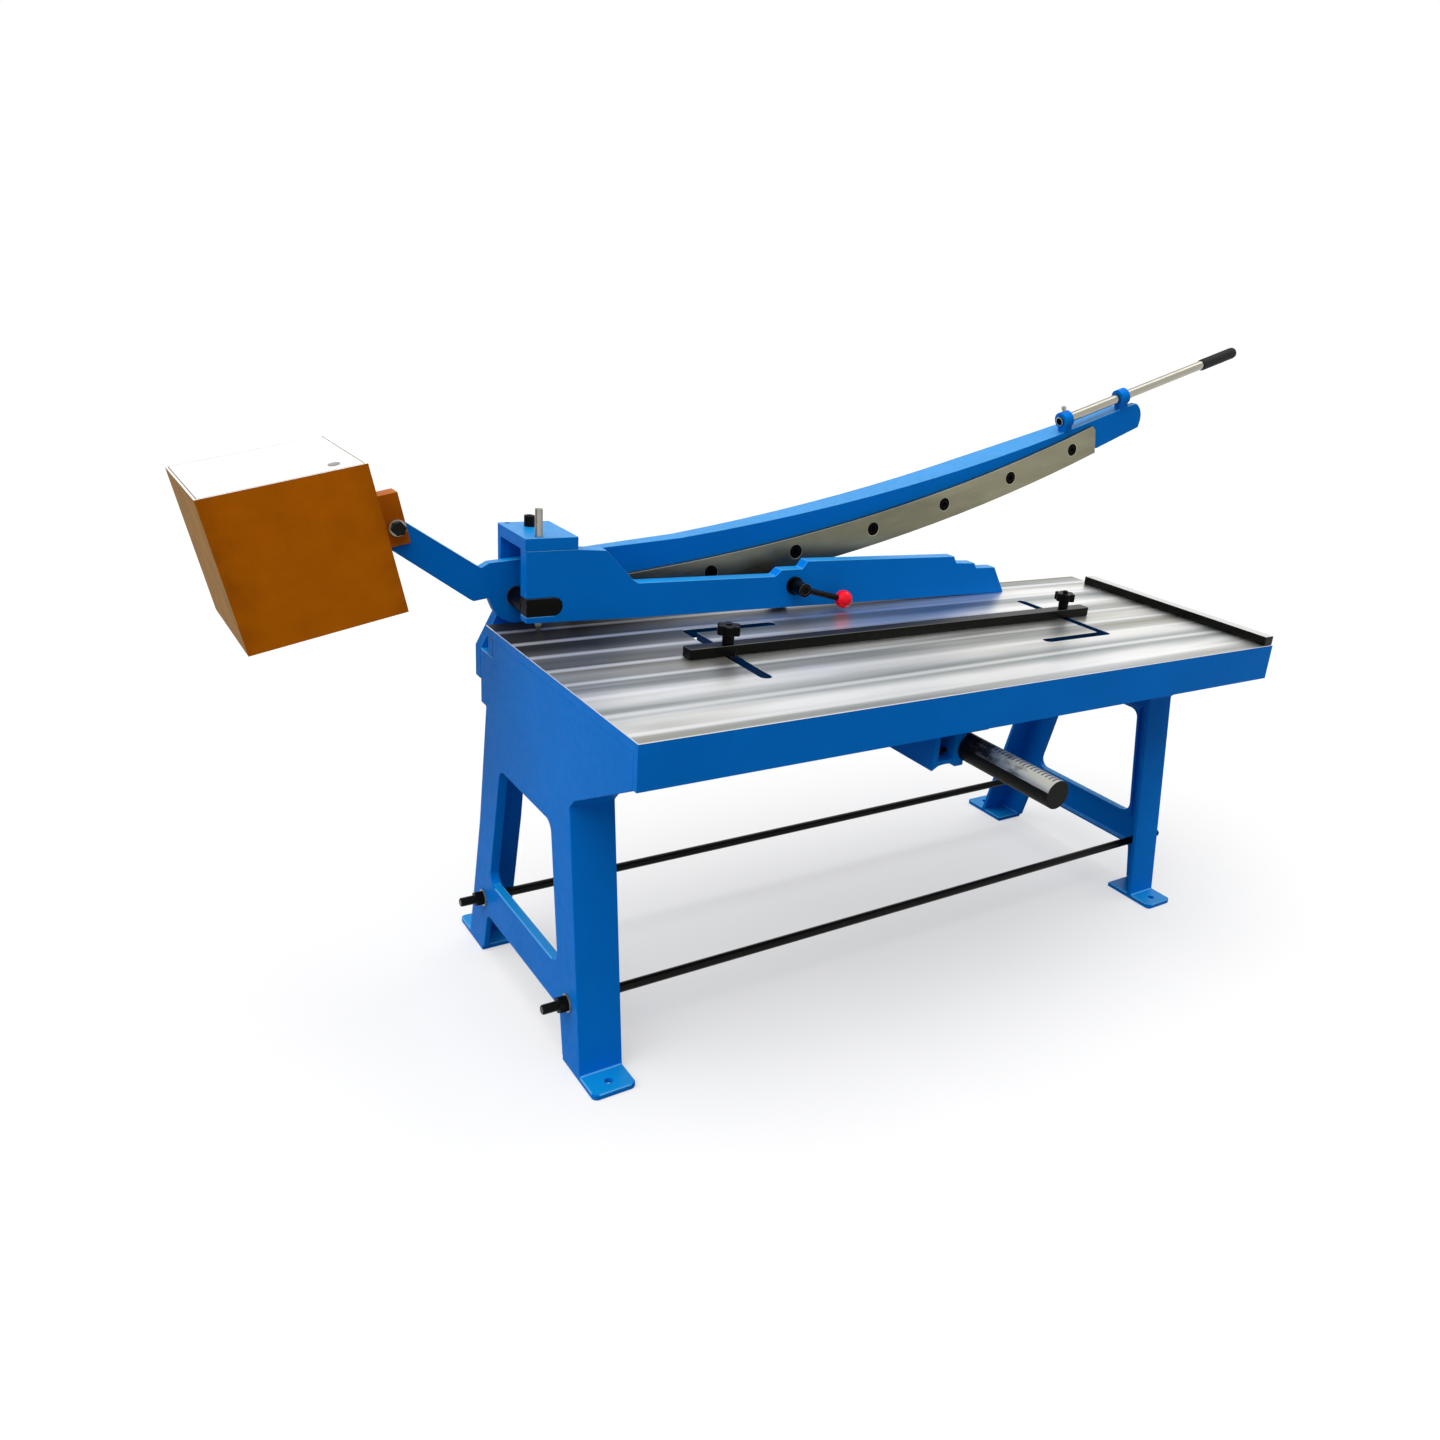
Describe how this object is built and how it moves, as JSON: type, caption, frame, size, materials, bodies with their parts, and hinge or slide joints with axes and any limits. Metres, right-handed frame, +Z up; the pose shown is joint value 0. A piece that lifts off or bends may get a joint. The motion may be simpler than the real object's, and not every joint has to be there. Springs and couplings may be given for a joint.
{
  "type": "manual bench shear",
  "caption": "Floor-standing manual shear with a curved blade on a counterweighted arm, a slotted table, a cam-lifted hold-down, a sliding fence and a strip gauge.",
  "frame": {"origin": "on the floor, at the centre of the four floor bolts", "axes": "+Z up, +X to the right along the blade, +Y to the back, away from the operator"},
  "size_m": [2.7718, 1.079, 1.4387],
  "materials": {
    "blue_enamel": "gloss enamel",
    "orange_enamel": "satin enamel",
    "bright_steel": "brushed",
    "table_iron": "gloss enamel, machined top",
    "blade_steel": "ground",
    "black_steel": "black oxide",
    "bronze": "machined",
    "cast_ballast": "rough",
    "black_plastic": "satin",
    "red_plastic": "gloss",
    "black_rubber": "matte"
  },
  "bodies": {
    "frame": {"left_leg_casting": "blue_enamel", "right_leg_casting": "blue_enamel", "table_plate": "table_iron", "table_apron": "blue_enamel", "table_rear_wall": "blue_enamel", "table_ribs": "blue_enamel", "table_bolts": "bright_steel", "squaring_bar_screws": "bright_steel", "upright_bolts": "bright_steel", "lower_blade_screws": "bright_steel", "lower_blade": "blade_steel", "squaring_bar": "black_steel", "front_tie_rod": "black_steel", "rear_tie_rod": "black_steel", "tie_rod_washers": "bright_steel", "tie_rod_nuts": "bright_steel", "pivot_upright": "blue_enamel", "pivot_shaft": "black_steel", "pivot_washer": "bright_steel", "pivot_nut": "bright_steel", "gauge_bracket": "blue_enamel", "gauge_bracket_bolts": "bright_steel"},
    "arm": {"blade_arm": "blue_enamel", "pivot_bushing": "bronze", "upper_blade": "blade_steel", "blade_bolts": "bright_steel", "blade_nuts": "bright_steel", "handle_rings": "blue_enamel", "counterweight_box": "orange_enamel", "box_lid": "orange_enamel", "box_plug": "bright_steel", "counterweight_ballast": "cast_ballast", "counterweight_bracket": "orange_enamel", "counterweight_washers": "bright_steel", "counterweight_bolt": "bright_steel", "counterweight_nut": "bright_steel"},
    "handle": {"handle_tube": "bright_steel", "handle_grip": "black_rubber"},
    "handle_screw": {"handle_set_screw": "bright_steel"},
    "hold_down": {"hold_down_beam": "blue_enamel", "cap_bracket": "blue_enamel", "cap_stop_screw": "black_steel"},
    "adjusting_screw": {"adjusting_screw": "bright_steel"},
    "cam_lever": {"cam_shaft": "black_steel", "cam_washer": "bright_steel", "cam_hub": "bright_steel", "cam_lever_rod": "black_steel", "ball_knob": "red_plastic"},
    "fence": {"fence_bar": "black_steel", "fence_bolts": "black_steel"},
    "left_knob": {"left_star_knob": "black_plastic"},
    "right_knob": {"right_star_knob": "black_plastic"},
    "gauge": {"gauge_bar": "black_steel", "gauge_stop": "black_steel"},
    "gauge_screw": {"gauge_clamp_screw": "bright_steel"}
  },
  "joints": [
    {"name": "arm_pivot", "type": "hinge", "parent": "frame", "child": "arm", "pos_m": [-0.78, 0.1923, 0.832], "axis": [0, -1, 0], "range_deg": [-12.4, 14]},
    {"name": "handle_slide", "type": "slide", "parent": "arm", "child": "handle", "axis": [0.9538, 0, 0.3004], "range_m": [-0.25, 0]},
    {"name": "handle_screw_turn", "type": "hinge", "parent": "arm", "child": "handle_screw", "pos_m": [0.73376, 0.2023, 1.22987], "axis": [-0.3004, 0, 0.9538], "continuous": true},
    {"name": "hold_down_lift", "type": "hinge", "parent": "frame", "child": "hold_down", "pos_m": [-0.78, 0.1923, 0.832], "axis": [0, -1, 0], "range_deg": [0, 0.8]},
    {"name": "adjusting_screw_turn", "type": "hinge", "parent": "hold_down", "child": "adjusting_screw", "pos_m": [-0.769, 0.11, 0.932], "axis": [0, 0, 1], "continuous": true},
    {"name": "cam_lever_turn", "type": "hinge", "parent": "hold_down", "child": "cam_lever", "pos_m": [-0.17, 0.095, 0.842], "axis": [0, -1, 0], "range_deg": [0, 90]},
    {"name": "fence_slide", "type": "slide", "parent": "frame", "child": "fence", "axis": [0, 1, 0], "range_m": [-0.14, 0.14]},
    {"name": "left_knob_turn", "type": "hinge", "parent": "fence", "child": "left_knob", "pos_m": [-0.4775, -0.137, 0.822], "axis": [0, 0, 1], "continuous": true},
    {"name": "right_knob_turn", "type": "hinge", "parent": "fence", "child": "right_knob", "pos_m": [0.4785, -0.137, 0.822], "axis": [0, 0, 1], "continuous": true},
    {"name": "gauge_slide", "type": "slide", "parent": "frame", "child": "gauge", "axis": [0, 1, 0], "range_m": [-0.03, 0.3]},
    {"name": "gauge_screw_turn", "type": "hinge", "parent": "frame", "child": "gauge_screw", "pos_m": [-0.087, -0.431, 0.642], "axis": [0.9816, 0, 0.1908], "continuous": true}
  ],
  "couplings": [
    {"joint": "cam_lever_turn", "follows": "hold_down_lift", "ratio": 112.5}
  ]
}
